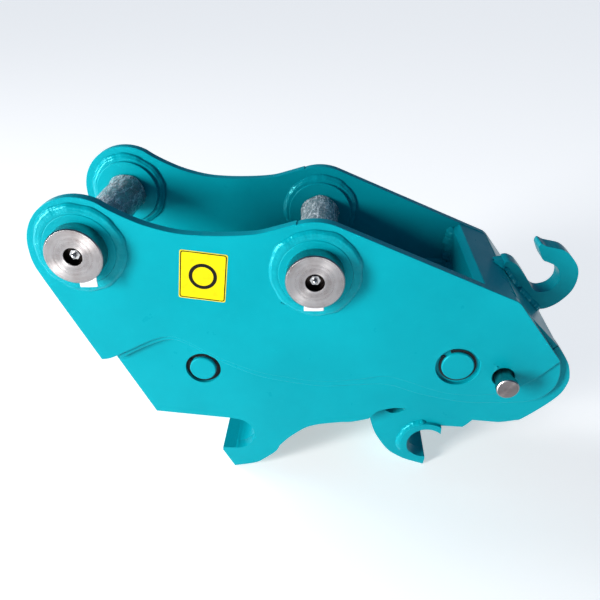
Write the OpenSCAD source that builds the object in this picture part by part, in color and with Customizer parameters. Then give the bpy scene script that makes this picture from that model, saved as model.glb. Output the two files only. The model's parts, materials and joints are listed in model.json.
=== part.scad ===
// Hydraulic quick coupler for a 20-tonne class excavator.
// Frame: X runs from the stick end to the link end, Y across, Z up, millimetres.
// Origin: on the stick pin's axis, midway between the two ear plates.

/* [Link pins] */
// Distance between the stick pin and the link pin
pin_spacing = 440; // [436:1:444]
// Tilt of the line through the two link pins, below the horizontal
pin_tilt = 5.333; // [5:0.1:5.6]
// Diameter of both link pins
pin_d = 80; // [76:1:84]
// Diameter of the turned head on each link pin
pin_head_d = 109; // [104:1:114]
// Distance that a pin head stands out from its ear plate
pin_head_out = 38; // [32:1:44]

/* [Plates] */
// Width over the outer faces of the ear plates
body_w = 336; // [332:1:340]
// Thickness of the two ear plates
ear_t = 20; // [18:1:22]
// Thickness of the two side plates that carry the jaws
side_t = 25; // [24:1:26]
// Thickness of the doublers under the ear plates
doubler_t = 12; // [10:1:14]
// Thickness of the cover, rear, deck and front plates
web_t = 12; // [10:1:14]

/* [Bosses] */
// Outer diameter of the four pin bosses
boss_d = 140; // [136:1:144]
// Distance that a boss stands out of its ear plate, outside
boss_out = 7.3; // [6:0.1:9]
// Distance that a boss stands out of its ear plate, inside
boss_in = 17; // [15:1:19]

/* [Jaws] */
// Diameter of both jaw seats
seat_d = 85; // [82:1:87]
// Wall of the movable jaw's liner
liner_t = 15; // [13:1:17]
// Width of the movable jaw
hook_w = 240; // [236:1:242]

/* [Shafts] */
// Diameter of the hook's pivot shaft
pivot_d = 65; // [60:1:68]
// Diameter of the cylinder's anchor shaft
anchor_d = 55; // [50:1:58]
// Diameter of the safety pin
safety_d = 36; // [32:1:38]
// Distance that the safety pin's head stands out of the ear plate
safety_out = 40; // [38:1:42]

/* [Cylinder] */
// Outer diameter of the cylinder barrel
barrel_d = 104; // [100:1:108]
// Bore of the cylinder barrel
barrel_bore = 80; // [76:1:82]
// Diameter of the piston rod
rod_d = 50; // [46:1:54]

/* [Hidden] */
$fn = 64;

teal = [0.03, 0.70, 0.76];
steel = [0.72, 0.70, 0.70];
dark_steel = [0.15, 0.16, 0.17];

// Distances from the centre plane
y_ear_out = body_w / 2;
y_ear_in = y_ear_out - ear_t;
y_side_in = y_ear_in - side_t;
y_boss_out = y_ear_out + boss_out;
y_boss_in = y_ear_in - boss_in;
y_hook = hook_w / 2;
cheek_t = 32;
y_cheek_in = y_hook - cheek_t;

// Shaft and pin axes in the XZ plane
stick = [0, 0];
link = [pin_spacing * cos(pin_tilt), -pin_spacing * sin(pin_tilt)];
anchor = [205, -281];
pivot = [725, -243];
safety = [818, -265];
fixed_seat = [264, -457];
hook_seat = [690, -487];
rod_end = [700, -352];

// Lowest level, where both jaws' tips rest
floor_z = -554;
// Top of the side plates, where the deck plate lies
side_top = -176;

seat_r = seat_d / 2;
liner_r = seat_r + liner_t;
ear_r = 100;
link_ear_r = 102.5;
run_gap = 0.05;
bush_recess = 8;
clip_t = 2.5;

// The top rear corner of the ear plates and the rear edge's lower corner
top_rear = [822, -92];
low_rear = [922.6, -222.2];
// Unit vector down the rear edge, and the slope angle of the top edge
rear_dir = (low_rear - top_rear) / norm(low_rear - top_rear);
rear_out = [-rear_dir[1], rear_dir[0]];
top_slope = 22.4;
top_dir = [cos(top_slope), -sin(top_slope)];
top_in = [-sin(top_slope), -cos(top_slope)];

// Outer line of the rear plate: start, slight bend and lower end
rear_start = top_rear - rear_out;
rear_bend = [859.5, -139];
rear_end = [918, -198.5];
rear_upper_dir = (rear_bend - rear_start) / norm(rear_bend - rear_start);
rear_lower_dir = (rear_end - rear_bend) / norm(rear_end - rear_bend);
rear_upper_in = -web_t * [-rear_upper_dir[1], rear_upper_dir[0]];
rear_lower_in = -web_t * [-rear_lower_dir[1], rear_lower_dir[0]];

// Line of the cylinder from the anchor shaft to the rod pin
cyl_len = norm(rod_end - anchor);
cyl_dip = atan2(anchor[1] - rod_end[1], rod_end[0] - anchor[0]);
barrel_r = barrel_d / 2;
barrel_start = 60;
barrel_end = 335;
gland_end = 358;
rod_pin_r = 19;
open_pivot_gap = 1.3;

// ---------- helper functions ----------
// Points on an arc from angle a0 to a1
function arc(c, r, a0, a1, n = 14) =
  [for (i = [0:n]) let (a = a0 + (a1 - a0) * i / n) [c[0] + r * cos(a), c[1] + r * sin(a)]];

function spline_point(p0, p1, p2, p3, t) =
  0.5 * (2 * p1 + (p2 - p0) * t + (2 * p0 - 5 * p1 + 4 * p2 - p3) * t * t
    + (3 * p1 - p0 - 3 * p2 + p3) * t * t * t);

// Smooth curve through every point of p, n steps between two points
function smooth(p, n = 5) =
  let (last = len(p) - 1)
  concat(
    [for (i = [0:last - 1], k = [0:n - 1])
      spline_point(p[max(i - 1, 0)], p[i], p[i + 1], p[min(i + 2, last)], k / n)],
    [p[last]]);

// ---------- helper modules ----------
// Extrude an XZ outline from y0 to y1
module slab(y0, y1) {
  translate([0, y1, 0]) rotate([90, 0, 0]) linear_extrude(y1 - y0) children();
}

// The same outline on the near side and on the far side
module both_sides(y0, y1) {
  slab(y0, y1) children();
  slab(-y1, -y0) children();
}

module disc(c, r) {
  translate(c) circle(r);
}

// Round bar along Y at point c of the XZ plane
module bar(c, r, y0, y1) {
  translate([c[0], y1, c[1]]) rotate([90, 0, 0]) cylinder(r = r, h = y1 - y0);
}

module tube(c, r_out, r_in, y0, y1) {
  difference() {
    bar(c, r_out, y0, y1);
    bar(c, r_in, y0 - 1, y1 + 1);
  }
}

// Places a shape drawn along +X on the cylinder's line
module on_cylinder() {
  translate([anchor[0], 0, anchor[1]]) rotate([0, cyl_dip, 0]) children();
}

// Round bar along the cylinder's line
module rod_bar(r, s0, s1) {
  translate([s0, 0, 0]) rotate([0, 90, 0]) cylinder(r = r, h = s1 - s0);
}

// ---------- plate outlines ----------
function saddle_points() = smooth([
  [402, 57], [365, 45.5], [330, 36], [280, 31.5], [224, 31], [178, 35],
  [132, 46.5], [99, 59.5], [66, 76], [46.5, 88.5]]);

function ear_lower_edge() = smooth([
  [0.6, -252.4], [22, -247.5], [63, -226.5], [107, -203], [145, -191.5],
  [178, -200.5], [240, -237], [314, -269], [379, -283], [455, -291],
  [526, -283], [578, -272.5], [619, -281], [696, -307.5], [758, -313.5],
  [814, -306], [872, -275], low_rear]);

module ear_outline() {
  polygon(concat(
    arc(link, link_ear_r, 90 - top_slope, 110),
    saddle_points(),
    arc(stick, ear_r, 65, 180, 24),
    smooth([[-100, -3], [-97, -33], [-80, -76], [0.6, -252.4]], 4),
    ear_lower_edge(),
    [top_rear + 5 * rear_dir, top_rear - 5 * top_dir]));
}

// Lower edge of the doubler, a little below the ear plate's
module doubler_outline() {
  difference() {
    polygon(concat(
      [[36, -245]],
      smooth([
        [37, -255], [58, -242], [103, -218], [145, -204], [178, -213],
        [240, -251], [314, -285], [379, -300], [455, -309], [526, -303],
        [590, -300], [660, -322], [746, -338], [806, -338], [863, -334],
        [893, -327], [914, -312], [928, -290], [932, -262], [928, -236]]),
      [low_rear, [870, -230], [600, -240], [300, -230], [145, -180]]));
    ear_outline();
  }
}

// Bottom of the side plates, from the fixed jaw to the rear rim
function side_lower_edge() = concat(
  smooth([[258, floor_z], [306, -542.5], [328, -528], [353.5, -505.5], [362.4, -488]], 4),
  smooth([
    [362.4, -488], [383, -464], [416, -436], [440, -425], [463, -419.5],
    [498, -414], [521, -412], [556, -402]], 4),
  smooth([[558, -400], [573, -382], [590, -374.5], [612, -369.5], [635, -370.5],
    [659, -379], [690, -390], [730, -393]], 4),
  [[776, -395], [832, -398.5]],
  smooth([[846, -396.5], [866, -392], [881, -386], [920, -350], [945, -320.5],
    [954.5, -297], [957, -275.5], [950, -247], [940, -228], [930, -213.5]], 4));

// The side plates stop a weld gap short of the rear plate
module side_outline() {
  weld_gap = 2;
  inner = rear_end + 1.03 * rear_lower_in;
  up = (inner[1] - side_top) / rear_lower_dir[1];
  polygon(concat(
    [[-12.7, side_top], [93.2, -399.7], [262, -413.5], [262, fixed_seat[1] - seat_r],
      [233.5, fixed_seat[1] - seat_r], [233, -507]],
    side_lower_edge(),
    [rear_end + weld_gap * rear_lower_dir, inner + weld_gap * rear_lower_dir,
      inner - up * rear_lower_dir]));
}

module hook_outline() {
  disc(pivot, 58);
  disc(safety, 34);
  polygon(concat(
    [[725, -200], [818, -244], [838, -265], [839, -300], [800, -396], [784, -421],
      [776, -431], [767, -439.5], [720, -438], [720, -460], hook_seat, [693, -538]],
    smooth([[690.5, floor_z], [656, -543.5], [635, -534], [608, -515], [586, -484.5],
      [571.5, -456], [562, -424], [557, -400]], 4),
    smooth([[563, -394], [591, -399], [612, -407], [639, -393], [657, -345], [674, -288]], 4),
    [[695, -243]]));
}

// Section of the liner: a half pipe open towards the rear
module liner_outline() {
  reach = 2 * liner_r;
  end_x = 30;
  low_end = 212;
  difference() {
    intersection() {
      disc(hook_seat, liner_r);
      translate(hook_seat) polygon([[0, 0], [end_x, 20], [end_x, reach], [-reach, reach],
        [-reach, 0], reach * [cos(low_end), sin(low_end)]]);
    }
    disc(hook_seat, seat_r);
  }
}

module cheek(y0, y1) {
  slab(y0, y1) difference() {
    hook_outline();
    disc(hook_seat, seat_r + 2);
    liner_outline();
    disc(pivot, 40);
    disc(safety, safety_d / 2 + 1);
  }
}

module boss(c, side) {
  difference() {
    slab(min(side * y_boss_out, side * y_boss_in), max(side * y_boss_out, side * y_boss_in))
      disc(c, boss_d / 2);
    bar(c, pin_d / 2 + run_gap, -y_boss_out - 1, y_boss_out + 1);
  }
}

// Link pin: turned head with a central recess in front, cross hole at the back
module headed_pin(c) {
  head_face = -y_ear_out - pin_head_out;
  recess_r = 18;
  recess_deep = 15;
  chamfer = 2;
  difference() {
    translate([c[0], 0, c[1]]) rotate([-90, 0, 0]) rotate_extrude() polygon([
      [0, head_face], [pin_head_d / 2 - chamfer, head_face],
      [pin_head_d / 2, head_face + chamfer], [pin_head_d / 2, -y_boss_out],
      [pin_d / 2, -y_boss_out], [pin_d / 2, keeper_face],
      [0, keeper_face]]);
    bar(c, recess_r, head_face - 1, head_face + recess_deep);
    keeper_bolt_hole(c);
  }
}
keeper_w = 34;
keeper_face = y_boss_out + 0.7 + keeper_w;
keeper_bolt_y = keeper_face - keeper_w / 2;
keeper_r = 58;
keeper_flat = keeper_r - 5;
keeper_bolt_r = 10;

// Places a shape drawn along +Z on the keeper bolt's line, which runs along +X through pin c
module on_keeper_bolt(c, start) {
  translate([c[0] + start, keeper_bolt_y, c[1]]) rotate([0, 90, 0]) children();
}

module keeper_bolt_hole(c) {
  on_keeper_bolt(c, -keeper_r - 5) cylinder(r = keeper_bolt_r + 0.5, h = 2 * keeper_r + 10);
}

module keeper(c) {
  difference() {
    bar(c, keeper_r, y_boss_out + 0.7, keeper_face);
    bar(c, pin_d / 2 + run_gap, y_boss_out, keeper_face + 1);
    keeper_bolt_hole(c);
    for (side = [-1, 1])
      translate([c[0] + side * (keeper_flat + 10), keeper_bolt_y, c[1]])
        cube([20, 2 * keeper_w, 40], center = true);
  }
}
module hex_prism(r_flat, h) {
  cylinder(r = r_flat / cos(30), h = h, $fn = 6);
}

// Ring with a gap and two eyes, lying in the XZ plane
module circlip_outline(c, r_in, r_out) {
  eye_turn = 18.5;
  gap_dir = 130;
  translate(c) difference() {
    union() {
      circle(r_out);
      for (side = [-1, 1])
        rotate(gap_dir + side * eye_turn) translate([r_in + 4.8, 0]) circle(4.4);
    }
    circle(r_in);
    polygon([[0, 0], 60 * [cos(gap_dir - 12), sin(gap_dir - 12)],
      60 * [cos(gap_dir + 12), sin(gap_dir + 12)]]);
    for (side = [-1, 1])
      rotate(gap_dir + side * eye_turn) translate([r_in + 4.8, 0]) circle(1.8);
  }
}

// Shaft with a circlip groove near each end
module grooved_shaft(c, r, y_end, y_clip) {
  chamfer = 2;
  depth = 1.5;
  translate([c[0], 0, c[1]]) rotate([-90, 0, 0]) rotate_extrude() polygon([
    [0, -y_end], [r - chamfer, -y_end], [r, chamfer - y_end],
    [r, -y_clip - clip_t], [r - depth, -y_clip - clip_t], [r - depth, -y_clip], [r, -y_clip],
    [r, y_clip], [r - depth, y_clip], [r - depth, y_clip + clip_t], [r, y_clip + clip_t],
    [r, y_end - chamfer], [r - chamfer, y_end], [0, y_end]]);
}
pivot_end = y_ear_out;
pivot_clip = y_ear_out - bush_recess;
pivot_bush_r = 44;
anchor_end = y_ear_in + 3;
anchor_clip = y_ear_in - bush_recess + 1;
anchor_bush_r = 37;

// ---------- frame ----------
module ear_plate(y0, y1, safety_hole) {
  color(teal) slab(y0, y1) difference() {
    ear_outline();
    disc(stick, boss_d / 2);
    disc(link, boss_d / 2);
    disc(pivot, pivot_bush_r);
    if (safety_hole) disc(safety, safety_d / 2 + 4.5);
  }
}
module near_ear_plate() { ear_plate(-y_ear_out, -y_ear_in, true); }
module far_ear_plate() { ear_plate(y_ear_in, y_ear_out, false); }

module side_plate(y0, y1, safety_hole) {
  color(teal) slab(y0, y1) difference() {
    side_outline();
    disc(fixed_seat, seat_r);
    disc(anchor, anchor_bush_r);
    disc(pivot, pivot_bush_r);
    if (safety_hole) disc(safety, safety_d / 2 + run_gap);
  }
}
module near_side_plate() { side_plate(-y_ear_in, -y_side_in, true); }
module far_side_plate() { side_plate(y_side_in, y_ear_in, false); }

module near_doubler() { color(teal) slab(-y_ear_in - doubler_t, -y_ear_in) doubler_outline(); }
module far_doubler() { color(teal) slab(y_ear_in, y_ear_in + doubler_t) doubler_outline(); }

module near_stick_boss() { color(teal) boss(stick, -1); }
module far_stick_boss() { color(teal) boss(stick, 1); }
module near_link_boss() { color(teal) boss(link, -1); }
module far_link_boss() { color(teal) boss(link, 1); }

module stick_pin() { color(steel) headed_pin(stick); }
module link_pin() { color(steel) headed_pin(link); }
module stick_pin_keeper() { color(teal) keeper(stick); }
module link_pin_keeper() { color(teal) keeper(link); }

module keeper_bolts() {
  head_h = 12;
  bolt_len = 2 * keeper_flat + 42;
  color(steel) for (c = [stick, link])
    on_keeper_bolt(c, -keeper_flat - head_h) {
      hex_prism(15, head_h);
      cylinder(r = keeper_bolt_r, h = bolt_len + head_h);
    }
}

module keeper_nuts() {
  nut_h = 16;
  color(steel) for (c = [stick, link], k = [0, 1])
    on_keeper_bolt(c, keeper_flat + k * (nut_h + 0.5)) difference() {
      hex_prism(15, nut_h);
      translate([0, 0, -1]) cylinder(r = keeper_bolt_r, h = nut_h + 2);
    }
}

// One nipple in the recess of each link pin's head
module grease_nipples() {
  recess_floor = -y_ear_out - pin_head_out + 15;
  color(steel) for (c = [stick, link])
    translate([c[0], recess_floor, c[1]]) rotate([90, 0, 0]) {
      hex_prism(9, 5);
      cylinder(r = 4, h = 10);
      translate([0, 0, 10]) sphere(r = 4.8);
    }
}

// Full-width seat block between the side plates, with its lip
module fixed_jaw() {
  color(teal) slab(-y_side_in, y_side_in) difference() {
    intersection() {
      side_outline();
      union() {
        disc(fixed_seat, 70);
        translate(fixed_seat) polygon([[-60, -43], [20, -43], [62, -20], [72, -40], [45, -110],
          [-20, -110], [-60, -60]]);
      }
    }
    disc(fixed_seat, seat_r);
  }
}

module front_plate() {
  color(teal) slab(-y_side_in, y_side_in)
    polygon([[22, -196], [22 + web_t, -196], [92 + web_t, -372], [92, -372]]);
}

// Deck over the cylinder, lying on the side plates' top edges, with an access hole for the hoses
module deck_plate() {
  access = [110, 80];
  color(teal) difference() {
    translate([10, -y_ear_in, side_top]) cube([bulkhead_x - 10, 2 * y_ear_in, web_t]);
    translate([300, -access[1] / 2, side_top - 1]) cube([access[0], access[1], web_t + 2]);
  }
}

// Height of the cover's outer face at x, flush with the ear plates' top edges
cover_inset = 1;
function cover_z(x) = top_rear[1] + (top_rear[0] - x) * tan(top_slope) - cover_inset / cos(top_slope);

// Upright plate with a bevelled top edge, under the front of the cover
bulkhead_x = 744;
bulkhead_t = 14.5;
module bulkhead() {
  back = bulkhead_x + bulkhead_t;
  bevel_h = 10.6;
  color(teal) slab(-y_ear_in, y_ear_in) polygon([
    [bulkhead_x, side_top], [bulkhead_x, cover_z(back) - bevel_h],
    [back, cover_z(back)], [back, side_top]]);
}

module cover_plate() {
  front = bulkhead_x + bulkhead_t;
  color(teal) slab(-y_ear_in, y_ear_in) polygon([
    [front, cover_z(front)], [front, cover_z(front) - web_t / cos(top_slope)],
    top_rear - 12 * top_dir + (cover_inset + web_t) * top_in,
    top_rear - 3 * top_dir + cover_inset * top_in]);
}

// Rear plate with a slight bend, lying on the side plates' rear edges between the ear plates
module rear_plate() {
  color(teal) slab(-y_ear_in, y_ear_in) polygon([
    rear_start, rear_bend, rear_end, rear_end + rear_lower_in,
    rear_bend + (rear_upper_in + rear_lower_in) / 2, rear_start + rear_upper_in]);
}

// Weld-on lifting hook with a beaked point, no latch
module lifting_hook() {
  half_w = 20;
  color(teal) slab(-half_w, half_w) polygon(concat(
    smooth([[826, -80], [834, -78.5], [843, -81.5], [853, -88], [870, -108.5], [881, -124],
      [893, -141.5], [907, -148.5], [922, -146], [933.5, -139], [941.5, -127], [943, -114],
      [940.3, -103], [934, -91], [924.5, -83.5]], 4),
    smooth([[924.5, -83.5], [912.5, -78.4], [900.3, -72.5], [888, -48]], 3),
    smooth([[888, -43], [892, -37.5], [904, -43], [921, -46.5], [938, -50.5], [952, -59.5],
      [966, -74.5], [975.5, -90], [979.3, -106], [979, -124], [974, -143], [962.6, -161],
      [947, -177], [929, -187.5], [914, -190.5]], 4),
    [rear_end - 8 * rear_lower_dir, rear_bend, rear_start + 3 * rear_upper_dir]));
}

module anchor_shaft() {
  color(teal) grooved_shaft(anchor, anchor_d / 2, anchor_end, anchor_clip);
}
module pivot_shaft() {
  color(teal) grooved_shaft(pivot, pivot_d / 2, pivot_end, pivot_clip);
}

module anchor_bushes() {
  color(dark_steel) both_sides(y_side_in - 3, anchor_clip) difference() {
    disc(anchor, anchor_bush_r);
    disc(anchor, anchor_d / 2 + run_gap);
  }
}
module anchor_spacers() {
  color(dark_steel) both_sides(46, y_side_in - 3) difference() {
    disc(anchor, anchor_bush_r - 2);
    disc(anchor, anchor_d / 2 + run_gap);
  }
}
module anchor_circlips() {
  color(dark_steel) both_sides(anchor_clip, anchor_clip + clip_t)
    circlip_outline(anchor, anchor_d / 2 - 1.5, anchor_d / 2 + 4.5);
}

module pivot_bushes() {
  color(dark_steel) both_sides(y_side_in, pivot_clip) difference() {
    disc(pivot, pivot_bush_r);
    disc(pivot, pivot_d / 2 + run_gap);
  }
}
module pivot_circlips() {
  color(dark_steel) both_sides(pivot_clip, pivot_clip + clip_t)
    circlip_outline(pivot, pivot_d / 2 - 1.5, pivot_d / 2 + 5);
}
module thrust_washers() {
  washer_t = y_side_in - y_hook - 0.4;
  color(steel) both_sides(y_side_in - washer_t, y_side_in) difference() {
    disc(pivot, 54);
    disc(pivot, pivot_d / 2 + 0.3);
  }
}

// ---------- movable hook ----------
module near_hook_cheek() { color(teal) cheek(-y_hook, -y_cheek_in); }
module far_hook_cheek() { color(teal) cheek(y_cheek_in, y_hook); }

body_top = -404;
module hook_body() {
  color(teal) slab(-y_cheek_in, y_cheek_in) difference() {
    intersection() {
      hook_outline();
      polygon([[560, floor_z - 10], [560, -440], [612, -432], [618, body_top], [800, body_top],
        [800, floor_z - 10]]);
    }
    disc(hook_seat, seat_r + 2);
    liner_outline();
  }
}

module hook_liner() {
  stand_out = 8;
  color(teal) slab(-y_hook - stand_out, y_hook + stand_out) liner_outline();
}

module rod_clevis() {
  lug_in = 33;
  lug_out = 61;
  color(teal) both_sides(lug_in, lug_out) difference() {
    union() {
      disc(rod_end, 34);
      polygon([rod_end + [-34, 0], rod_end + [34, 0], [rod_end[0] + 44, body_top],
        [rod_end[0] - 48, body_top]]);
    }
    disc(rod_end, rod_pin_r + run_gap);
  }
}

module hook_bushes() {
  color(dark_steel) both_sides(y_cheek_in, y_hook) difference() {
    disc(pivot, 40);
    disc(pivot, pivot_d / 2 + run_gap);
  }
}

module rod_pin() { color(steel) grooved_shaft(rod_end, rod_pin_r, 68, 61.3); }
module rod_pin_clips() {
  color(dark_steel) both_sides(61.3, 61.3 + clip_t)
    circlip_outline(rod_end, rod_pin_r - 1.5, rod_pin_r + 4);
}

// ---------- hydraulic cylinder ----------
module cylinder_barrel() {
  color(teal) on_cylinder() difference() {
    rod_bar(barrel_r, barrel_start, barrel_end);
    rod_bar(barrel_bore / 2, barrel_start - 1, barrel_end + 1);
    translate([300, 0, 0]) cylinder(r = 5, h = 100);
  }
}

module cylinder_base() {
  eye_w = 45;
  color(teal) on_cylinder() difference() {
    union() {
      translate([0, eye_w, 0]) rotate([90, 0, 0]) cylinder(r = barrel_r, h = 2 * eye_w);
      translate([0, -eye_w, -40]) cube([barrel_start - 12, 2 * eye_w, 80]);
      rod_bar(barrel_r, barrel_start - 15, barrel_start);
    }
    translate([0, 60, 0]) rotate([90, 0, 0]) cylinder(r = anchor_d / 2 + run_gap, h = 120);
  }
}

module gland() {
  spigot = 25;
  color(steel) on_cylinder() difference() {
    union() {
      rod_bar(barrel_r, barrel_end, gland_end);
      rod_bar(barrel_bore / 2 - 0.1, barrel_end - spigot + 10, barrel_end);
    }
    rod_bar(rod_d / 2 + run_gap, barrel_end - spigot, gland_end + 1);
  }
}

module rod_wiper() {
  color([0.05, 0.05, 0.06]) on_cylinder() difference() {
    rod_bar(rod_d / 2 + 7, gland_end, gland_end + 5);
    rod_bar(rod_d / 2 + 0.1, gland_end - 1, gland_end + 6);
  }
}

block_start = 95;
block_len = 70;
block_half_w = 32;
block_top = 86;
port_s = [118, 142];
port_r = 7.5;
port_depth = 16;
module valve_block() {
  color(dark_steel) on_cylinder() difference() {
    translate([block_start, -block_half_w, 30])
      cube([block_len, 2 * block_half_w, block_top - 30]);
    rod_bar(barrel_r + 0.02, 0, 300);
    for (s = port_s)
      translate([s, 0, block_top - port_depth]) cylinder(r = port_r, h = port_depth + 1);
  }
}

module valve_screws() {
  color(steel) on_cylinder()
    for (s = [block_start + 9, block_start + block_len - 9], side = [-1, 1])
      translate([s, side * (block_half_w - 9), block_top]) difference() {
        cylinder(r = 6.5, h = 8);
        translate([0, 0, 4]) cylinder(r = 3.4, h = 6, $fn = 6);
      }
}

// Steel line from the valve block to the rod-end port
module transfer_tube() {
  line_r = 7;
  bend_r = 18;
  line_z = 76;
  entry_s = 300;
  color(steel) on_cylinder() {
    translate([block_start + block_len, 0, line_z]) rotate([0, 90, 0])
      cylinder(r = line_r, h = entry_s - bend_r - block_start - block_len);
    translate([entry_s - bend_r, 0, line_z - bend_r]) rotate([90, 0, 0])
      rotate_extrude(angle = 90) translate([bend_r, 0]) circle(line_r);
    translate([entry_s, 0, barrel_r + 1]) cylinder(r = line_r, h = line_z - bend_r - barrel_r - 1);
    difference() {
      translate([entry_s, 0, barrel_r - 12]) cylinder(r = 13, h = 15);
      rod_bar(barrel_r + 0.02, 200, 400);
    }
  }
}

rod_start = 262;
eye_shank = 466;
module piston_rod() {
  color(steel) on_cylinder() {
    rod_bar(rod_d / 2, rod_start, eye_shank);
    rod_bar(16, rod_start - 40, rod_start);
  }
}

module piston() {
  color(steel) on_cylinder() difference() {
    rod_bar(barrel_bore / 2 - run_gap, rod_start - 30, rod_start);
    rod_bar(16, rod_start - 31, rod_start + 1);
  }
}

module piston_nut() {
  color(steel) on_cylinder() translate([rod_start - 46, 0, 0]) rotate([0, 90, 0]) difference() {
    hex_prism(25, 16);
    translate([0, 0, 6]) cylinder(r = 16, h = 12);
  }
}

module rod_eye() {
  eye_r = 34;
  eye_half_w = 31;
  color(steel) on_cylinder() difference() {
    union() {
      translate([cyl_len, eye_half_w, 0]) rotate([90, 0, 0]) cylinder(r = eye_r, h = 2 * eye_half_w);
      rod_bar(30, eye_shank, cyl_len - 5);
    }
    translate([cyl_len, 40, 0]) rotate([90, 0, 0])
      cylinder(r = rod_pin_r + open_pivot_gap, h = 80);
  }
}

// ---------- safety pin ----------
module safety_pin() {
  head_face = -y_ear_out - safety_out;
  head_r = 22;
  head_len = 14;
  chamfer = 2;
  inner_end = -y_side_in - 1;
  color(steel) translate([safety[0], 0, safety[1]]) rotate([-90, 0, 0]) rotate_extrude() polygon([
    [0, head_face], [head_r - chamfer, head_face], [head_r, head_face + chamfer],
    [head_r, head_face + head_len], [safety_d / 2, head_face + head_len],
    [safety_d / 2, inner_end - 3], [safety_d / 2 - 3, inner_end], [0, inner_end]]);
}

near_ear_plate();
far_ear_plate();
near_side_plate();
far_side_plate();
near_doubler();
far_doubler();
near_stick_boss();
far_stick_boss();
near_link_boss();
far_link_boss();
stick_pin();
link_pin();
stick_pin_keeper();
link_pin_keeper();
keeper_bolts();
keeper_nuts();
grease_nipples();
fixed_jaw();
front_plate();
deck_plate();
bulkhead();
cover_plate();
rear_plate();
lifting_hook();
anchor_shaft();
anchor_bushes();
anchor_spacers();
anchor_circlips();
pivot_shaft();
pivot_bushes();
pivot_circlips();
thrust_washers();
near_hook_cheek();
far_hook_cheek();
hook_body();
hook_liner();
rod_clevis();
hook_bushes();
rod_pin();
rod_pin_clips();
cylinder_barrel();
cylinder_base();
gland();
rod_wiper();
valve_block();
valve_screws();
transfer_tube();
piston_rod();
piston();
piston_nut();
rod_eye();
safety_pin();
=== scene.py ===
"""Looks of the quick coupler: paint, welds, label, tags, floor, light and camera around the CAD frame."""
import json
import math
import random

import bmesh
import bpy
from mathutils import Matrix, Vector


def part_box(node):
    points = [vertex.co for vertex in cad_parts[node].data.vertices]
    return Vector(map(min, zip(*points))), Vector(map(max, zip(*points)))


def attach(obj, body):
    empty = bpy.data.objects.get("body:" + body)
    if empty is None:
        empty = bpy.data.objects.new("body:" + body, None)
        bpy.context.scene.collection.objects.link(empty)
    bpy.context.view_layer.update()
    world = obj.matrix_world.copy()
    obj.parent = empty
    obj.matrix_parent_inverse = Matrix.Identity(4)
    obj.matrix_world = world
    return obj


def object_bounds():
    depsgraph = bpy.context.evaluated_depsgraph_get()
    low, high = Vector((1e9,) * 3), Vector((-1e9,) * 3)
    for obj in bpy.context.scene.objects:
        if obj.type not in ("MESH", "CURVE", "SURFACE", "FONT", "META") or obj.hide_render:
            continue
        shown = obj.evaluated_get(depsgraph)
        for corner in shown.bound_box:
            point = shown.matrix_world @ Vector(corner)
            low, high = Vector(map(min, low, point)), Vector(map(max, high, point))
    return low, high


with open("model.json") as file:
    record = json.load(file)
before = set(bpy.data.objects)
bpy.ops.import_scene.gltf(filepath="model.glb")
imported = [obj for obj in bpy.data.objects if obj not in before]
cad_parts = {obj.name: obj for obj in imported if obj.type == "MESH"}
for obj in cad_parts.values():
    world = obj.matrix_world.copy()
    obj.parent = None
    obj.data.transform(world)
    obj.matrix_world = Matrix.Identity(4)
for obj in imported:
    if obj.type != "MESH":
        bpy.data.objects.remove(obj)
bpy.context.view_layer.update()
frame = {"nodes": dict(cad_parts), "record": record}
NODES = frame["nodes"]
MM = 0.001


# ---------- places read from the frame ----------
def centre(node):
    low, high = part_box(node)
    return (low + high) / 2


def half_size(node):
    low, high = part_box(node)
    return (high - low) / 2


STICK = centre("near_stick_boss")
LINK = centre("near_link_boss")
BOSS_R = half_size("near_stick_boss").x
EAR_OUT = -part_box("near_ear_plate")[0].y
EAR_IN = -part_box("near_ear_plate")[1].y


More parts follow.
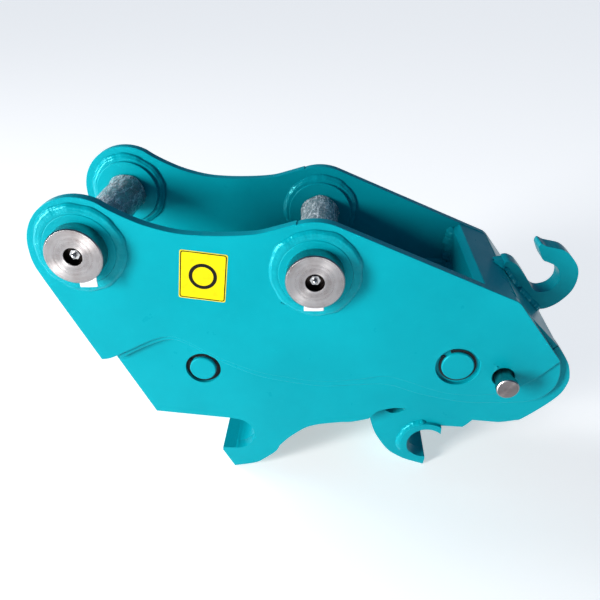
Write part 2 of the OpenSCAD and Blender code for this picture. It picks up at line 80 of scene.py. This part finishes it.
# ---------- material helpers ----------
class Graph:
    """Short calls for one material's nodes."""

    def __init__(self, name):
        self.material = bpy.data.materials.new(name)
        self.material.use_nodes = True
        self.tree = self.material.node_tree
        self.shader = self.tree.nodes["Principled BSDF"]
        self.coord = self.tree.nodes.new("ShaderNodeTexCoord").outputs["Object"]

    def node(self, kind, inputs=None, **settings):
        node = self.tree.nodes.new(kind)
        for key, value in settings.items():
            setattr(node, key, value)
        for key, value in (inputs or {}).items():
            if isinstance(value, bpy.types.NodeSocket):
                self.tree.links.new(value, node.inputs[key])
            else:
                node.inputs[key].default_value = value
        return node

    def link(self, socket, name):
        self.tree.links.new(socket, self.shader.inputs[name])

    def set(self, **values):
        for key, value in values.items():
            self.shader.inputs[key.replace("_", " ")].default_value = value

    def stretched(self, scale):
        return self.node("ShaderNodeMapping", {"Vector": self.coord, "Scale": scale}).outputs["Vector"]

    def noise(self, scale, detail=3.0, rough=0.5, vector=None):
        return self.node("ShaderNodeTexNoise", {"Vector": vector or self.coord, "Scale": scale,
                                                "Detail": detail, "Roughness": rough}).outputs["Fac"]

    def grey_ramp(self, fac, low, high, start=0.3, end=0.7):
        """Runs evenly from low, where fac is start, to high, where fac is end."""
        node = self.node("ShaderNodeMapRange", {"Value": fac, "From Min": start, "From Max": end,
                                                "To Min": low, "To Max": high})
        return node.outputs["Result"]

    def mix(self, fac, a, b):
        node = self.node("ShaderNodeMix", data_type="RGBA")
        for key, value in ((0, fac), (6, a), (7, b)):
            if isinstance(value, bpy.types.NodeSocket):
                self.tree.links.new(value, node.inputs[key])
            else:
                node.inputs[key].default_value = value
        return node.outputs[2]

    def math(self, operation, a, b=0.0):
        return self.node("ShaderNodeMath", {0: a, 1: b}, operation=operation).outputs[0]

    def bump(self, heights):
        """heights: list of (height socket, distance in metres, strength)."""
        normal = None
        for height, distance, strength in heights:
            inputs = {"Height": height, "Distance": distance, "Strength": strength}
            if normal is not None:
                inputs["Normal"] = normal
            normal = self.node("ShaderNodeBump", inputs).outputs["Normal"]
        self.link(normal, "Normal")
        return normal


# ---------- materials ----------
TEAL = (0.001, 0.305, 0.370, 1.0)
TEAL_DEEP = (0.0005, 0.270, 0.330, 1.0)
TEAL_GLINT = (0.10, 0.95, 1.0, 1.0)
WELD_GLINT = (0.14, 0.96, 1.0, 1.0)
TEAL_DUSTY = (0.02, 0.45, 0.50, 1.0)


def paint_material(name, weld=False):
    """Gloss enamel with orange peel. It pools on welds and shines more there.

    Across the thick plate edges it follows the lines left by the cutting torch.
    """
    g = Graph(name)
    patches = g.noise(5.0, 4.0, 0.6)
    dust = g.noise(110.0, 3.0, 0.6)
    base = g.mix(g.grey_ramp(patches, 0.0, 1.0, 0.36, 0.66), TEAL_DEEP, TEAL)
    dusty = g.grey_ramp(dust, 0.0, 0.08, 0.60, 0.78)
    g.link(g.mix(dusty, base, TEAL_DUSTY), "Base Color")
    g.set(Specular_IOR_Level=0.60 if weld else 0.40, IOR=1.42,
          Specular_Tint=WELD_GLINT if weld else TEAL_GLINT)
    rough = (0.12, 0.24) if weld else (0.27, 0.38)
    g.link(g.grey_ramp(g.noise(24.0, 4.0, 0.6), *rough), "Roughness")
    heights = [(g.noise(14.0, 2.0, 0.5), 0.0008, 0.35), (g.noise(520.0, 2.0, 0.5), 0.00010, 0.5)]
    if weld:
        heights.append((g.noise(240.0, 4.0, 0.6), 0.0005, 0.7))
    else:
        facing = g.node("ShaderNodeNewGeometry").outputs["True Normal"]
        across = g.math("ABSOLUTE", g.node("ShaderNodeSeparateXYZ", {"Vector": facing}).outputs["Y"])
        edge = g.grey_ramp(across, 0.0, 1.0, 0.35, 0.25)
        lines = g.noise(1.0, 3.0, 0.6, g.stretched((420.0, 12.0, 420.0)))
        heights.append((g.math("MULTIPLY", lines, edge), 0.0004, 0.5))
    g.bump(heights)
    return g.material


def steel_material(name, color, rough, bands, noise_scale=60.0):
    """Turned steel: fine rings across the bar and a light oil film."""
    g = Graph(name)
    stain = g.noise(noise_scale, 5.0, 0.65)
    dark = tuple(c * 0.62 for c in color) + (1.0,)
    g.link(g.mix(g.grey_ramp(stain, 0.0, 1.0, 0.35, 0.7), (*color, 1.0), dark), "Base Color")
    g.set(Metallic=1.0)
    g.link(g.grey_ramp(g.noise(35.0, 4.0, 0.7), rough * 0.8, rough * 1.25), "Roughness")
    tool_marks = g.noise(1.0, 4.0, 0.7, g.stretched(bands))
    g.bump([(tool_marks, 0.00025, 0.5)])
    return g.material


FACE_LIGHT = (0.34, 0.325, 0.33, 1.0)
FACE_STAIN = (0.22, 0.19, 0.185, 1.0)
FACE_RING = (0.62, 0.60, 0.60, 1.0)
# painted shade for the end face of a pin, darker than its side
FACE_PAINTED_SHADE = (0.15, 0.12, 0.12, 1.0)
# near-black of the recess: grease, and painted shade in the hollow
GREASE_AND_SHADE = (0.030, 0.024, 0.022, 1.0)
PIN_FACE_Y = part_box("stick_pin")[0].y
RECESS_R = 0.018


def turned_face_material(name, axis_point, recess_r=0.0, painted_dark_end=False):
    """Faced end of a pin: rings around its own axis, with a recess of the given radius in the middle, painted
    near-black for grease and as painted shade in the hollow.

    With the flag set, the end face is painted darker than the side, as painted shade.
    """
    g = Graph(name)
    local = g.node("ShaderNodeMapping", {"Vector": g.coord,
                                         "Location": [-c for c in axis_point]}).outputs["Vector"]
    parts = g.node("ShaderNodeSeparateXYZ", {"Vector": local})
    flat = g.node("ShaderNodeCombineXYZ", {"X": parts.outputs["X"],
                                           "Z": parts.outputs["Z"]}).outputs["Vector"]
    radius = g.node("ShaderNodeVectorMath", {0: flat}, operation="LENGTH").outputs["Value"]
    ring_vector = g.node("ShaderNodeCombineXYZ", {"X": radius}).outputs["Vector"]
    rings = g.noise(1400.0, 3.0, 0.7, ring_vector)
    broad = g.noise(90.0, 2.0, 0.5, ring_vector)
    stain = g.noise(45.0, 5.0, 0.6)
    color = g.mix(g.grey_ramp(stain, 0.0, 1.0, 0.42, 0.75), FACE_LIGHT, FACE_STAIN)
    color = g.mix(g.grey_ramp(broad, 0.0, 0.35, 0.4, 0.7), color, FACE_RING)
    # painted shade: the face that looks along Y is darkened against the side
    if painted_dark_end:
        normal = g.node("ShaderNodeNewGeometry").outputs["True Normal"]
        facing = g.math("ABSOLUTE", g.node("ShaderNodeSeparateXYZ", {"Vector": normal}).outputs["Y"])
        color = g.mix(g.grey_ramp(facing, 0.0, 0.7, 0.8, 0.9), color, FACE_PAINTED_SHADE)
    # the recess is painted near-black: partly grease, partly painted shade where it is deep
    if recess_r:
        inside = g.grey_ramp(radius, 0.0, 1.0, recess_r + 0.8 * MM, recess_r)
        deep = g.grey_ramp(parts.outputs["Y"], 0.0, 1.0, PIN_FACE_Y + 0.5 * MM, PIN_FACE_Y + 4.0 * MM)
        color = g.mix(g.math("MULTIPLY", inside, deep), color, GREASE_AND_SHADE)
    g.link(color, "Base Color")
    g.set(Metallic=1.0, Anisotropic=0.92)
    g.link(g.grey_ramp(broad, 0.22, 0.34), "Roughness")
    tangent = g.node("ShaderNodeTangent", direction_type="RADIAL", axis="Y").outputs["Tangent"]
    g.link(tangent, "Tangent")
    g.bump([(rings, 0.00012, 0.6)])
    return g.material


def plain_material(name, color, rough, metallic=0.0, grain=200.0, depth=0.0001, specular=0.5):
    """One colour with slight uneven patches and a fine grain."""
    g = Graph(name)
    tint = g.noise(grain * 0.2, 4.0, 0.6)
    shade = tuple(c * 0.78 for c in color) + (1.0,)
    g.link(g.mix(g.grey_ramp(tint, 0.0, 1.0), (*color, 1.0), shade), "Base Color")
    g.link(g.grey_ramp(g.noise(grain * 0.5, 3.0, 0.6), rough * 0.85, rough * 1.2), "Roughness")
    g.set(Metallic=metallic, Specular_IOR_Level=specular)
    g.bump([(g.noise(grain, 3.0, 0.6), depth, 0.6)])
    return g.material


FILM_CLEAR = (0.36, 0.42, 0.45, 1.0)
FILM_RED = (0.40, 0.05, 0.045, 1.0)
# white for the creases: a painted highlight along the folds
FILM_CREASE_HIGHLIGHT = (0.95, 0.98, 1.0, 1.0)


def film_material(name, reddish):
    """Crinkled plastic film over a pin: thin creases painted white as painted highlights, half clear between
    them.
    """
    g = Graph(name)
    long_folds = g.noise(1.0, 4.0, 0.65, g.stretched((44.0, 14.0, 44.0)))
    short_folds = g.noise(62.0, 3.0, 0.55)

    def creases(noise, width):
        return g.grey_ramp(g.math("ABSOLUTE", g.math("SUBTRACT", noise, 0.5)), 1.0, 0.0, 0.0, width)

    faint = g.math("MULTIPLY", creases(short_folds, 0.04), 0.5)
    lines = g.math("MAXIMUM", creases(long_folds, 0.032), faint)
    tint = FILM_CLEAR
    if reddish:
        patch = g.grey_ramp(g.noise(12.0, 2.0, 0.5), 0.0, 0.5, 0.58, 0.68)
        tint = g.mix(patch, tint, FILM_RED)
    # the creases are painted white as a painted highlight
    g.link(g.mix(lines, tint, FILM_CREASE_HIGHLIGHT), "Base Color")
    g.link(g.grey_ramp(lines, 0.42, 0.97, 0.0, 1.0), "Alpha")
    g.link(g.grey_ramp(short_folds, 0.03, 0.16), "Roughness")
    g.set(Specular_IOR_Level=0.9)
    g.bump([(long_folds, 0.0060, 1.0), (lines, 0.0006, 0.8)])
    return g.material


PAINT = paint_material("teal_enamel")
WELD_PAINT = paint_material("teal_enamel_on_weld", weld=True)
BAR_STEEL = steel_material("turned_bar_steel", (0.56, 0.53, 0.53), 0.30, (4.0, 900.0, 4.0))
FACE_STEEL = {"stick_pin": turned_face_material("stick_pin_steel", (STICK.x, 0.0, STICK.z), RECESS_R),
              "link_pin": turned_face_material("link_pin_steel", (LINK.x, 0.0, LINK.z), RECESS_R),
              "safety_pin": turned_face_material("safety_pin_steel", centre("safety_pin"), painted_dark_end=True)}
MACHINED = steel_material("machined_steel", (0.50, 0.50, 0.51), 0.33, (300.0, 300.0, 300.0), 40.0)
DARK_STEEL = plain_material("phosphated_steel", (0.008, 0.010, 0.013), 0.50, 0.0, 300.0, specular=0.2)
ZINC = plain_material("zinc_plate", (0.55, 0.56, 0.57), 0.30, 1.0, 240.0)
CHROME = steel_material("hard_chrome", (0.78, 0.78, 0.80), 0.10, (500.0, 6.0, 6.0), 20.0)
SEAL = plain_material("seal_polyurethane", (0.02, 0.02, 0.022), 0.55, 0.0, 400.0)
FILM = {"stick_film": film_material("stick_pin_film", True),
        "link_film": film_material("link_pin_film", False)}
PAPER = plain_material("tag_paper", (0.86, 0.85, 0.88), 0.75, 0.0, 260.0, 0.0002)
LABEL_YELLOW = plain_material("label_yellow", (0.84, 0.66, 0.001), 0.50, 0.0, 300.0, 0.00004, 0.12)
LABEL_BLACK = plain_material("label_black", (0.006, 0.006, 0.006), 0.65, 0.0, 300.0, 0.00004, 0.12)
SLOT_MATERIAL = {"paint": PAINT, "turned_steel": BAR_STEEL, "machined_steel": MACHINED,
                 "dark_steel": DARK_STEEL, "zinc": ZINC, "chrome_rod": CHROME, "seal": SEAL}


# ---------- carried-over CAD nodes ----------
PLATE_EDGE = 2.0 * MM
FINE_EDGE = 0.7 * MM
COARSE_NODES = ["fixed_jaw", "lifting_hook", "hook_body", "bulkhead"]
COARSE_NODES += [f"{side}_{part}" for side in ("near", "far")
                 for part in ("ear_plate", "side_plate", "doubler", "hook_cheek", "stick_boss", "link_boss")]


def soften(obj, width):
    """Closes the seams between the faces of a CAD mesh and rounds its sharp edges."""
    weld = obj.modifiers.new("join_seams", "WELD")
    weld.merge_threshold = 0.00001
    bevel = obj.modifiers.new("broken_edges", "BEVEL")
    bevel.width = width
    bevel.segments = 3
    bevel.limit_method = "ANGLE"
    bevel.angle_limit = math.radians(40)
    bevel.harden_normals = True


def dress_cad_nodes():
    slots = {part["node"]: part["material_slot"] for part in frame["record"]["subparts"]}
    for name, obj in NODES.items():
        material = FACE_STEEL.get(name) or SLOT_MATERIAL[slots[name]]
        obj.data.materials.clear()
        obj.data.materials.append(material)
        soften(obj, PLATE_EDGE if name in COARSE_NODES else FINE_EDGE)


# ---------- mesh helpers ----------
ACROSS = Vector((0.0, 1.0, 0.0))


def add_mesh(name, vertices, faces, material, body="frame"):
    mesh = bpy.data.meshes.new(name)
    mesh.from_pydata([tuple(v) for v in vertices], [], faces)
    work = bmesh.new()
    work.from_mesh(mesh)
    bmesh.ops.recalc_face_normals(work, faces=work.faces)
    work.to_mesh(mesh)
    work.free()
    mesh.shade_smooth()
    mesh.set_sharp_from_angle(angle=math.radians(50))
    mesh.materials.append(material)
    obj = bpy.data.objects.new(name, mesh)
    bpy.context.scene.collection.objects.link(obj)
    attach(obj, body)
    return obj


def wander(rng, harmonics=(2, 3, 5, 9, 14)):
    """A smooth random curve over 0 to 1 that ends where it starts and stays between about -1 and 1."""
    waves = [(k, rng.uniform(0.5, 1.0) / k ** 0.5, rng.uniform(0, math.tau)) for k in harmonics]
    total = sum(size for _, size, _ in waves)
    return lambda x: sum(size * math.sin(math.tau * k * x + turn) for k, size, turn in waves) * 1.6 / total


# ---------- welds ----------
STEP = 2.0 * MM
SECTION = 10
RIPPLE_PITCH = 6.0 * MM


def weld_bead(name, corner, length, legs, seed, closed=False, passes=1, ripple=0.45 * MM, bulge=0.35,
              uneven=0.10, body="frame"):
    """A fillet weld along a corner.

    corner(x) gives, for x from 0 to 1, the corner point and the unit vectors along the two plates.
    legs are the two leg lengths in metres, one along each plate. bulge goes from 0, a flat face, to 1,
    a quarter round. uneven is how far the legs wander, as a share of their length.
    """
    rng = random.Random(seed)
    leg_curves = wander(rng), wander(rng)
    lift_curve = wander(rng, (7, 12, 19, 27))
    steps = max(8, round(length / STEP))
    count = max(2, round(length / RIPPLE_PITCH))
    rows = steps if closed else steps + 1
    vertices = []
    for i in range(rows):
        x = i / steps
        point, u, v = corner(x)
        taper = 1.0 if closed else min(1.0, 0.35 + min(x, 1.0 - x) * length / legs[0])
        a = legs[0] * taper * (1.0 + uneven * leg_curves[0](x))
        b = legs[1] * taper * (1.0 + 0.5 * uneven * leg_curves[1](x))
        outward = (u * b + v * a).normalized()
        for k in range(SECTION + 1):
            t = k / SECTION
            along_u = (1.0 - t) * (1.0 - bulge) + math.cos(t * math.pi / 2) * bulge
            along_v = t * (1.0 - bulge) + math.sin(t * math.pi / 2) * bulge
            band = (t * passes) % 1.0
            crown = math.sin(math.pi * band)
            phase = (x * count + 0.45 * (2.0 * band - 1.0) ** 2) % 1.0
            wave = 1.0 - abs(2.0 * phase - 1.0)
            inside = math.sin(math.pi * t)
            lift = ripple * (wave + 0.8 * lift_curve(x)) * inside
            if passes > 1:
                lift += 1.6 * ripple * crown * inside
            vertices.append(point + u * a * along_u + v * b * along_v + outward * lift)
        vertices.append(point - (u + v) * 0.4 * MM)
    ring = SECTION + 2
    faces = []
    for i in range(steps):
        here = i * ring
        there = ((i + 1) % rows) * ring
        faces += [(here + k, here + (k + 1) % ring, there + (k + 1) % ring, there + k) for k in range(ring)]
    if not closed:
        faces.append(tuple(range(ring)))
        faces.append(tuple(range((rows - 1) * ring, rows * ring)))
    return add_mesh(name, vertices, faces, WELD_PAINT, body)


def ring_corner(middle, radius, y, out_sign):
    """Corner between a boss and a plate face at y, where out_sign is the way that the boss stands out."""
    def corner(x):
        turn = math.tau * x
        radial = Vector((math.cos(turn), 0.0, math.sin(turn)))
        return Vector((middle.x, y, middle.z)) + radial * radius, radial, ACROSS * out_sign
    return corner


def arc_corner(middle, radius, y, out_sign, first, last):
    """The part of ring_corner between two angles in degrees, counted from +X towards +Z."""
    ring = ring_corner(middle, radius, y, out_sign)
    return lambda x: ring((first + (last - first) * x) / 360.0)


def line_corner(start, end, u, v):
    start, end, u, v = (Vector(p) for p in (start, end, u, v))
    return lambda x: (start.lerp(end, x), u.normalized(), v.normalized())


def add_boss_welds():
    """Rings of weld round the four bosses, outside and inside the ear plates."""
    outer_legs = (19.0 * MM, 6.4 * MM)
    inner_legs = (15.0 * MM, 10.0 * MM)
    around = math.tau * BOSS_R
    seed = 11
    for boss_name, middle in (("stick", STICK), ("link", LINK)):
        for side_name, side in (("near", -1), ("far", 1)):
            seed += 1
            weld_bead(f"{side_name}_{boss_name}_outer_weld",
                      ring_corner(middle, BOSS_R, side * EAR_OUT, side), around, outer_legs, seed,
                      closed=True, passes=3, ripple=0.8 * MM, bulge=0.85, uneven=0.14)
            weld_bead(f"{side_name}_{boss_name}_inner_weld",
                      ring_corner(middle, BOSS_R, side * EAR_IN, -side), around, inner_legs, seed + 20,
                      closed=True, passes=2, ripple=0.8 * MM, bulge=0.7, uneven=0.14)


def add_cover_welds():
    """Fillets where the bulkhead meets the ears and the deck, and along the deck."""
    low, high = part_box("bulkhead")
    deck_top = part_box("deck_plate")[1].z
    deck_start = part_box("deck_plate")[0].x
    top = high.z - 8.0 * MM
    bulkhead_leg, deck_leg, cross_leg = 16.0 * MM, 8.0 * MM, 9.0 * MM
    for name, side, seed in (("near", -1, 51), ("far", 1, 52)):
        y = side * EAR_IN
        inwards = (0, -side, 0)
        foot = (low.x, y, deck_top)
        weld_bead(f"{name}_bulkhead_weld", line_corner(foot, (low.x, y, top), (-1, 0, 0), inwards),
                  top - deck_top, (bulkhead_leg, bulkhead_leg), seed, ripple=0.8 * MM, bulge=0.6, uneven=0.16)
        weld_bead(f"{name}_deck_weld", line_corner((deck_start, y, deck_top), foot, (0, 0, 1), inwards),
                  low.x - deck_start, (deck_leg, deck_leg), seed + 4)
    across = line_corner((low.x, -EAR_IN, deck_top), (low.x, EAR_IN, deck_top), (-1, 0, 0), (0, 0, 1))
    weld_bead("deck_bulkhead_weld", across, 2 * EAR_IN, (cross_leg, cross_leg), 59)


# Slope of the cover plate, and the line of the lifting hook's foot down the rear plate
COVER_SLOPE = math.radians(22.4)
HOOK_FOOT = Vector((0.8235, 0.0, -0.0930))
REAR_BEND = Vector((0.8595, 0.0, -0.1390))
REAR_END_Z = -0.1930


def add_hook_welds():
    """The lifting hook's foot is welded all round; the fillet in front of it is the widest."""
    half_w = half_size("lifting_hook").y
    cover_dir = Vector((math.cos(COVER_SLOPE), 0.0, -math.sin(COVER_SLOPE)))
    cover_up = Vector((math.sin(COVER_SLOPE), 0.0, math.cos(COVER_SLOPE)))
    half_run = ACROSS * (half_w + 6 * MM)
    front = line_corner(HOOK_FOOT - half_run, HOOK_FOOT + half_run, -cover_dir, cover_up)
    weld_bead("hook_front_weld", front, 2 * half_w + 12 * MM, (17.0 * MM, 11.0 * MM), 61,
              ripple=0.9 * MM, bulge=0.15, uneven=0.22)
    end = Vector((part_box("rear_plate")[1].x - 4.0 * MM, 0.0, REAR_END_Z))
    leg = 9.0 * MM
    for name, side, seed in (("near", -1, 63), ("far", 1, 65)):
        for part, first, last in (("upper", HOOK_FOOT, REAR_BEND), ("lower", REAR_BEND, end)):
            run = last - first
            away = Vector((-run.z, 0.0, run.x)).normalized()
            face = ACROSS * side * half_w
            weld_bead(f"{name}_hook_{part}_weld", line_corner(first + face, last + face, (0, side, 0), away),
                      run.length, (leg, leg), seed + (part == "lower"), uneven=0.15)


LINER_R = 57.5 * MM


def add_liner_welds():
    """Fillets where the jaw's liner stands out of the hook's two cheeks."""
    low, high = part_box("hook_liner")
    middle = Vector((low.x + LINER_R, 0.0, high.z - LINER_R))
    cheek_out = -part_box("near_hook_cheek")[0].y
    first, last = 95.0, 205.0
    for name, side, seed in (("near", -1, 71), ("far", 1, 72)):
        weld_bead(f"{name}_liner_weld", arc_corner(middle, LINER_R, side * cheek_out, side, first, last),
                  LINER_R * math.radians(last - first), (9.0 * MM, 7.0 * MM), seed,
                  ripple=0.7 * MM, bulge=0.6, uneven=0.16, body="hook")


def add_spatter():
    """Small drops of weld metal under the paint, all on faces that look towards -Y."""
    pin = centre("safety_pin")
    groups = (("link_spatter", (LINK.x - 93 * MM, EAR_IN, LINK.z - 52 * MM), 9, 12 * MM),
              ("near_spatter", (LINK.x - 62 * MM, -EAR_OUT, LINK.z - 66 * MM), 2, 3 * MM),
              ("pin_spatter", (pin.x - 18.5 * MM, -EAR_OUT, pin.z + 31 * MM), 2, 4 * MM))
    for seed, (name, place, count, spread) in enumerate(groups):
        rng = random.Random(80 + seed)
        vertices, faces = [], []
        for _ in range(count):
            size = rng.uniform(1.2, 2.8) * MM
            middle = Vector(place) + Vector((rng.gauss(0, spread), 0.0, rng.gauss(0, spread)))
            bead = bmesh.new()
            bmesh.ops.create_icosphere(bead, subdivisions=2, radius=size)
            first = len(vertices)
            for v in bead.verts:
                stretch = 1.0 + 0.25 * math.sin(v.co.x / size * 3 + v.co.z / size * 2 + seed)
                drop = Vector((v.co.x * stretch, v.co.y * 0.7, v.co.z * stretch))
                vertices.append(middle + drop - ACROSS * 0.25 * size)
            faces += [tuple(first + v.index for v in f.verts) for f in bead.faces]
            bead.free()
        add_mesh(name, vertices, faces, WELD_PAINT, "frame")


# ---------- label, tags and film ----------
def rounded_rectangle(width, height, radius, per_corner=6):
    """Outline points counted anticlockwise, as (x, z) around the middle."""
    points = []
    for quarter, (sx, sz) in enumerate(((1, 1), (-1, 1), (-1, -1), (1, -1))):
        for i in range(per_corner + 1):
            turn = math.pi / 2 * (quarter + i / per_corner)
            points.append((sx * (width / 2 - radius) + radius * math.cos(turn),
                           sz * (height / 2 - radius) + radius * math.sin(turn)))
    return points


def circle_points(radius, count=48):
    turns = [math.tau * i / count for i in range(count)]
    return [(radius * math.cos(turn), radius * math.sin(turn)) for turn in turns]


LABEL_MIDDLE = Vector((0.2257, 0.0, -0.0530))
LABEL_TILT = math.radians(-6.3)


def label_point(point, y):
    """A point of the label's own plane, in metres, put at depth y in the frame."""
    x, z = point
    return Vector((LABEL_MIDDLE.x + x * math.cos(LABEL_TILT) - z * math.sin(LABEL_TILT), y,
                   LABEL_MIDDLE.z + x * math.sin(LABEL_TILT) + z * math.cos(LABEL_TILT)))


def add_label_layer(name, outer, inner, y_back, y_front, material):
    """A flat sheet between two outlines, or a full one where inner is None."""
    count = len(outer)
    if inner is None:
        vertices = [label_point(p, y) for y in (y_back, y_front) for p in outer]
        faces = [tuple(range(count)), tuple(range(count, 2 * count))]
        faces += [(i, (i + 1) % count, count + (i + 1) % count, count + i) for i in range(count)]
    else:
        vertices = [label_point(p, y) for y in (y_back, y_front) for p in outer + inner]
        faces = []
        for i in range(count):
            j = (i + 1) % count
            faces += [(i, j, count + j, count + i),
                      (2 * count + i, 2 * count + j, 3 * count + j, 3 * count + i),
                      (i, j, 2 * count + j, 2 * count + i),
                      (count + i, count + j, 3 * count + j, 3 * count + i)]
    return add_mesh(name, vertices, faces, material)


def add_label():
    """A plain yellow service label: a border and a blank ring, no wording."""
    width, height = 90.0 * MM, 102.0 * MM
    face = -EAR_OUT
    sheet_face, print_face = face - 0.25 * MM, face - 0.40 * MM
    sheet = rounded_rectangle(width, height, 4 * MM)
    border_out = rounded_rectangle(width - 3 * MM, height - 3 * MM, 5 * MM)
    border_in = rounded_rectangle(width - 7 * MM, height - 7 * MM, 3.5 * MM)
    add_label_layer("label_sheet", sheet, None, face + 0.1 * MM, sheet_face, LABEL_YELLOW)
    add_label_layer("label_border", border_out, border_in, face, print_face, LABEL_BLACK)
    add_label_layer("label_ring", circle_points(27 * MM), circle_points(20 * MM), face, print_face,
                    LABEL_BLACK)


def add_sheet(name, surface, columns, rows, thickness, material, body="frame"):
    """A thin bent sheet; surface(a, b) gives its point for a and b from 0 to 1."""
    vertices = [surface(i / columns, j / rows) for j in range(rows + 1) for i in range(columns + 1)]
    line = columns + 1
    corners = [(j * line + i, (j + 1) * line + i) for j in range(rows) for i in range(columns)]
    faces = [(here, here + 1, there + 1, there) for here, there in corners]
    obj = add_mesh(name, vertices, faces, material, body)
    shell = obj.modifiers.new("thickness", "SOLIDIFY")
    shell.thickness = thickness
    shell.offset = 0.0
    return obj


def add_tags():
    """Blank paper tags stuck under the heads of the two pins; left, right and drop are in mm."""
    head_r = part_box("stick_pin")[1].x - STICK.x
    tags = (("stick_tag", STICK, 2, 36, 11), ("link_tag", LINK, -20, 17, 8))
    for name, middle, left, right, drop in tags:
        def surface(a, b, middle=middle, left=left, right=right, drop=drop):
            x = (left + (right - left) * a) * MM
            rim = -math.sqrt(max(head_r ** 2 - x * x, 0.0)) + 1.0 * MM
            bottom = -head_r - drop * 0.75 * MM + 3.0 * MM * (a - 0.5)
            z = min(rim, rim + (bottom - rim) * b)
            y = PIN_FACE_Y + (2.5 + 1.2 * math.sin(3.5 * a + 2.0 * b) + 1.5 * b * b) * MM
            return Vector((middle.x + x, y, middle.z + z))
        add_sheet(name, surface, 14, 10, 0.3 * MM, PAPER)


FILM_R = 41.5 * MM


def add_film():
    """Crinkled film left around the two pins between the bosses."""
    reach = -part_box("near_stick_boss")[1].y - 5 * MM
    for name, middle, seed in (("stick_film", STICK, 91), ("link_film", LINK, 95)):
        rng = random.Random(seed)
        folds = [(rng.randint(2, 11), rng.uniform(-70, 70), rng.uniform(0, math.tau),
                  rng.uniform(0.25, 0.6)) for _ in range(12)]
        columns, rows = 96, 90
        vertices = []
        for j in range(rows + 1):
            y = -reach + 2 * reach * j / rows
            flare = 2.5 * MM * math.exp(-(reach - abs(y)) / (6 * MM))
            for i in range(columns):
                turn = math.tau * i / columns
                crease = sum(size * (1 - abs(math.sin((k * turn + slant * y + shift) / 2)) * 2)
                             for k, slant, shift, size in folds)
                lip = flare * (1 + 0.4 * math.sin(5 * turn + seed))
                radius = FILM_R + max(-0.6 * MM, 0.45 * MM * crease) + lip
                vertices.append(Vector((middle.x + radius * math.cos(turn), y,
                                        middle.z + radius * math.sin(turn))))
        faces = []
        for j in range(rows):
            here, there = j * columns, (j + 1) * columns
            for i in range(columns):
                after = (i + 1) % columns
                faces.append((here + i, here + after, there + after, there + i))
        obj = add_mesh(name, vertices, faces, FILM[name])
        shell = obj.modifiers.new("thickness", "SOLIDIFY")
        shell.thickness = 0.15 * MM
        shell.offset = 1.0


# ---------- stage ----------
CAMERA_PLACE = Vector((0.46409, -1.20066, 0.49530))
CAMERA_FORWARD = Vector((-0.046242, 0.865984, -0.497929))
CAMERA_UP = Vector((-0.026550, 0.497221, 0.867218))
LENS = 37.54


def add_camera():
    """The photo's viewpoint."""
    data = bpy.data.cameras.new("camera")
    data.sensor_width = 36.0
    data.lens = LENS
    camera = bpy.data.objects.new("camera", data)
    right = CAMERA_FORWARD.cross(CAMERA_UP).normalized()
    up = right.cross(CAMERA_FORWARD).normalized()
    turn = Matrix((right, up, -CAMERA_FORWARD)).transposed()
    camera.matrix_world = Matrix.Translation(CAMERA_PLACE) @ turn.to_4x4()
    bpy.context.scene.collection.objects.link(camera)
    bpy.context.scene.camera = camera


def add_area(name, place, target, width, height, power, color):
    """A soft rectangular light that looks at the target."""
    data = bpy.data.lights.new(name, "AREA")
    data.shape = "RECTANGLE"
    data.size = width
    data.size_y = height
    data.energy = power
    data.color = color
    light = bpy.data.objects.new(name, data)
    light.location = place
    light.rotation_euler = (Vector(target) - Vector(place)).to_track_quat("-Z", "Y").to_euler()
    bpy.context.scene.collection.objects.link(light)


KEY_AIM = (0.45, 0.0, -0.2)
KEY_PLACE = (-3.75, -3.15, 0.75)
KEY_SIZE = (1.1, 2.6)
KEY_POWER = 480.0
KEY_COLOR = (1.0, 0.985, 0.955)
FILL_WAY = Vector((0.80, -0.35, -0.48))
FILL_POWER = 1.9
FILL_SPREAD = math.radians(30)
SKY = (0.055, 0.110, 0.190, 1.0)
FLOOR_REACH = 45.0
FLOOR_GREY = (0.82, 0.82, 0.82, 1.0)
FLOOR_GLOW = (1.0, 0.98, 0.95, 1.0)
FLOOR_GLOW_POWER = 0.50


def add_floor():
    """A large pale floor just under the lowest point, with a slight glow of its own."""
    mesh = bpy.data.meshes.new("floor")
    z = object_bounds()[0][2] - 0.5 * MM
    mesh.from_pydata([(-FLOOR_REACH, -FLOOR_REACH, z), (FLOOR_REACH, -FLOOR_REACH, z),
                      (FLOOR_REACH, FLOOR_REACH, z), (-FLOOR_REACH, FLOOR_REACH, z)], [], [(0, 1, 2, 3)])
    floor = bpy.data.objects.new("floor", mesh)
    g = Graph("pale_floor")
    g.set(Base_Color=FLOOR_GREY, Roughness=0.9, Specular_IOR_Level=0.1, Emission_Color=FLOOR_GLOW,
          Emission_Strength=FLOOR_GLOW_POWER)
    mesh.materials.append(g.material)
    bpy.context.scene.collection.objects.link(floor)


def add_lights():
    """A key light from the left front, a fill from behind that makes no highlights, and a dim blue sky."""
    add_area("key", KEY_PLACE, KEY_AIM, *KEY_SIZE, KEY_POWER, KEY_COLOR)
    sun = bpy.data.lights.new("back_fill", "SUN")
    sun.energy = FILL_POWER
    sun.angle = FILL_SPREAD
    back_fill = bpy.data.objects.new("back_fill", sun)
    back_fill.visible_glossy = False
    back_fill.rotation_euler = FILL_WAY.to_track_quat("-Z", "Y").to_euler()
    bpy.context.scene.collection.objects.link(back_fill)
    world = bpy.data.worlds.new("studio")
    world.use_nodes = True
    background = world.node_tree.nodes["Background"]
    background.inputs["Color"].default_value = SKY
    background.inputs["Strength"].default_value = 1.0
    bpy.context.scene.world = world


bpy.context.scene.view_settings.view_transform = "Standard"
dress_cad_nodes()
add_boss_welds()
add_cover_welds()
add_hook_welds()
add_liner_welds()
add_spatter()
add_label()
add_tags()
add_film()
add_camera()
add_floor()
add_lights()
